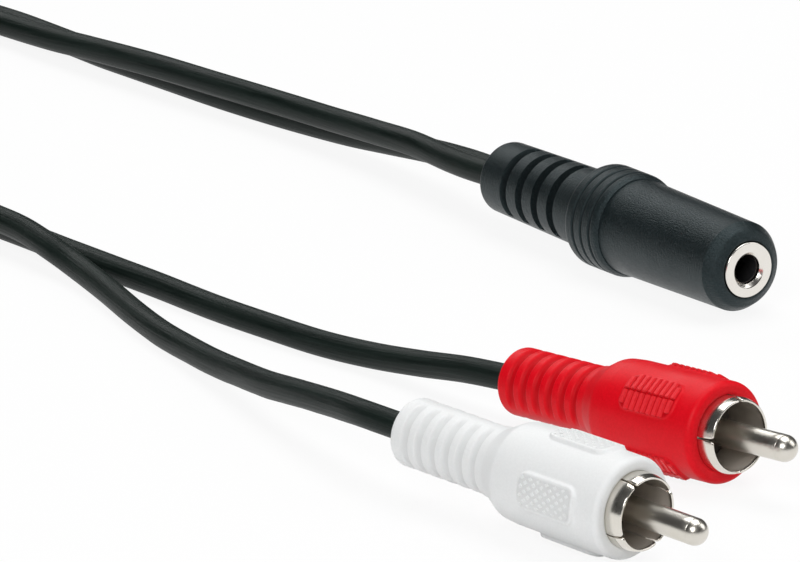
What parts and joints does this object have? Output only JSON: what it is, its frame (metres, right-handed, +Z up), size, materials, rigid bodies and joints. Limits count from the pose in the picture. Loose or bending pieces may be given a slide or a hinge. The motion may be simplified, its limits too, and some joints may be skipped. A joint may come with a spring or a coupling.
{
  "type": "y-adapter cable",
  "caption": "Y-adapter audio cable: a moulded black jack socket on a twin cord that splits into leads with moulded white and red phono plugs.",
  "frame": {"origin": "on the surface that the cable lies on, under the centre of the box round the socket and the two plugs", "axes": "+X along the jack socket's mating axis, out of its mouth; +Z up"},
  "size_m": [0.2739, 0.1111, 0.0146],
  "materials": {
    "black_moulding": "fine-grained matt",
    "white_moulding": "satin",
    "red_moulding": "satin",
    "black_cord": "satin",
    "nickel": "polished",
    "spring_metal": "plated",
    "copper": "bare wire",
    "plug_insulator": "matt",
    "contact_carrier": "matt",
    "core_insulation": "satin",
    "tie_band": "satin"
  },
  "bodies": {
    "root": {"socket_overmould": "black_moulding", "socket_bush": "nickel", "socket_insulator": "contact_carrier", "tip_spring": "spring_metal", "ring_spring": "spring_metal", "sleeve_tag": "nickel", "left_core": "core_insulation", "right_core": "core_insulation", "left_conductor": "copper", "right_conductor": "copper", "socket_pigtail": "copper", "white_overmould": "white_moulding", "white_shell": "nickel", "white_insulator": "plug_insulator", "white_pin": "nickel", "white_core": "core_insulation", "white_conductor": "copper", "white_pigtail": "copper", "red_overmould": "red_moulding", "red_shell": "nickel", "red_insulator": "plug_insulator", "red_pin": "nickel", "red_core": "core_insulation", "red_conductor": "copper", "red_pigtail": "copper", "twin_cord": "black_cord", "twin_tail": "black_cord", "cord_coil": "black_cord", "coil_tie": "tie_band", "white_lead": "black_cord", "red_lead": "black_cord"}
  },
  "joints": []
}
